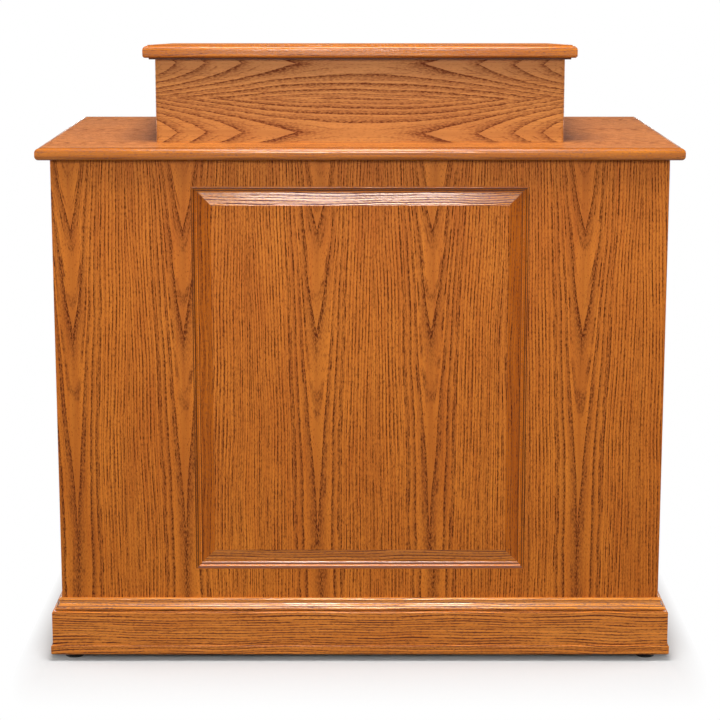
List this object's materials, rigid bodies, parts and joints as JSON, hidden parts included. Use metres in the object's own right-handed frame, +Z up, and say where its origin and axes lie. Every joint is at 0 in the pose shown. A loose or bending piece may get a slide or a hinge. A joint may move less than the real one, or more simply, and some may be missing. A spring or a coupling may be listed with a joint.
{
  "type": "lectern",
  "caption": "Wide oak lectern with a raised-panel front, moulded plinth, overhanging desk and a raised, gently sloping reading top; open shelved back and levelling feet.",
  "frame": {"origin": "on the floor under the middle of the desk", "axes": "+Z up, -Y towards the audience (the panelled front), +X to the right as seen from there"},
  "size_m": [1.219, 0.711, 1.194],
  "materials": {
    "oak_veneer_upright": "satin lacquer",
    "oak_veneer_level": "satin lacquer",
    "oak_solid": "satin lacquer",
    "pine_batten": "planed",
    "beech_dowel": "turned",
    "zinc_steel": "zinc plated",
    "black_nylon": "moulded"
  },
  "bodies": {
    "lectern": {"left_stile": "oak_veneer_upright", "right_stile": "oak_veneer_upright", "top_rail": "oak_veneer_upright", "bottom_rail": "oak_veneer_upright", "panel_field": "oak_veneer_upright", "left_side": "oak_veneer_upright", "right_side": "oak_veneer_upright", "desk_board": "oak_veneer_level", "lid_board": "oak_veneer_level", "riser_front": "oak_veneer_level", "riser_left": "oak_veneer_level", "riser_right": "oak_veneer_level", "floor_board": "oak_veneer_level", "desk_edge_front": "oak_solid", "desk_edge_back": "oak_solid", "desk_edge_left": "oak_solid", "desk_edge_right": "oak_solid", "lid_edge_front": "oak_solid", "lid_edge_back": "oak_solid", "lid_edge_left": "oak_solid", "lid_edge_right": "oak_solid", "panel_moulding_top": "oak_solid", "panel_moulding_bottom": "oak_solid", "panel_moulding_left": "oak_solid", "panel_moulding_right": "oak_solid", "panel_bevel_top": "oak_solid", "panel_bevel_bottom": "oak_solid", "panel_bevel_left": "oak_solid", "panel_bevel_right": "oak_solid", "plinth_front": "oak_solid", "plinth_left": "oak_solid", "plinth_right": "oak_solid", "base_cap_front": "oak_solid", "base_cap_left": "oak_solid", "base_cap_right": "oak_solid", "side_lippings": "oak_solid", "floor_lipping": "oak_solid", "back_top_rail": "oak_solid", "base_rail_front": "pine_batten", "base_rail_back": "pine_batten", "base_rail_left": "pine_batten", "base_rail_right": "pine_batten", "corner_battens": "pine_batten", "desk_cleats": "pine_batten", "riser_cleats": "pine_batten", "dowels": "beech_dowel", "wood_screws": "zinc_steel", "shelf_pins": "zinc_steel", "foot_inserts": "zinc_steel"},
    "shelf": {"shelf_board": "oak_veneer_level", "shelf_nosing": "oak_solid"},
    "front_left_pad": {"foot_pad_front_left": "black_nylon"},
    "front_left_stud": {"foot_stud_front_left": "zinc_steel"},
    "front_right_pad": {"foot_pad_front_right": "black_nylon"},
    "front_right_stud": {"foot_stud_front_right": "zinc_steel"},
    "back_left_pad": {"foot_pad_back_left": "black_nylon"},
    "back_left_stud": {"foot_stud_back_left": "zinc_steel"},
    "back_right_pad": {"foot_pad_back_right": "black_nylon"},
    "back_right_stud": {"foot_stud_back_right": "zinc_steel"}
  },
  "joints": [
    {"name": "shelf_slide", "type": "slide", "parent": "lectern", "child": "shelf", "axis": [0, 1, 0], "range_m": [0, 0.55]},
    {"name": "front_left_foot_lift", "type": "slide", "parent": "lectern", "child": "front_left_pad", "axis": [0, 0, -1], "range_m": [0, 0.01]},
    {"name": "front_left_foot_screw", "type": "hinge", "parent": "front_left_pad", "child": "front_left_stud", "pos_m": [-0.5645, -0.3105, 0], "axis": [0, 0, -1], "range_deg": [0, 2880]},
    {"name": "front_right_foot_lift", "type": "slide", "parent": "lectern", "child": "front_right_pad", "axis": [0, 0, -1], "range_m": [0, 0.01]},
    {"name": "front_right_foot_screw", "type": "hinge", "parent": "front_right_pad", "child": "front_right_stud", "pos_m": [0.5645, -0.3105, 0], "axis": [0, 0, -1], "range_deg": [0, 2880]},
    {"name": "back_left_foot_lift", "type": "slide", "parent": "lectern", "child": "back_left_pad", "axis": [0, 0, -1], "range_m": [0, 0.01]},
    {"name": "back_left_foot_screw", "type": "hinge", "parent": "back_left_pad", "child": "back_left_stud", "pos_m": [-0.5645, 0.3105, 0], "axis": [0, 0, -1], "range_deg": [0, 2880]},
    {"name": "back_right_foot_lift", "type": "slide", "parent": "lectern", "child": "back_right_pad", "axis": [0, 0, -1], "range_m": [0, 0.01]},
    {"name": "back_right_foot_screw", "type": "hinge", "parent": "back_right_pad", "child": "back_right_stud", "pos_m": [0.5645, 0.3105, 0], "axis": [0, 0, -1], "range_deg": [0, 2880]}
  ],
  "couplings": [
    {"joint": "front_left_foot_lift", "follows": "front_left_foot_screw", "m_per_rad": 0.00019894},
    {"joint": "front_right_foot_lift", "follows": "front_right_foot_screw", "m_per_rad": 0.00019894},
    {"joint": "back_left_foot_lift", "follows": "back_left_foot_screw", "m_per_rad": 0.00019894},
    {"joint": "back_right_foot_lift", "follows": "back_right_foot_screw", "m_per_rad": 0.00019894}
  ]
}
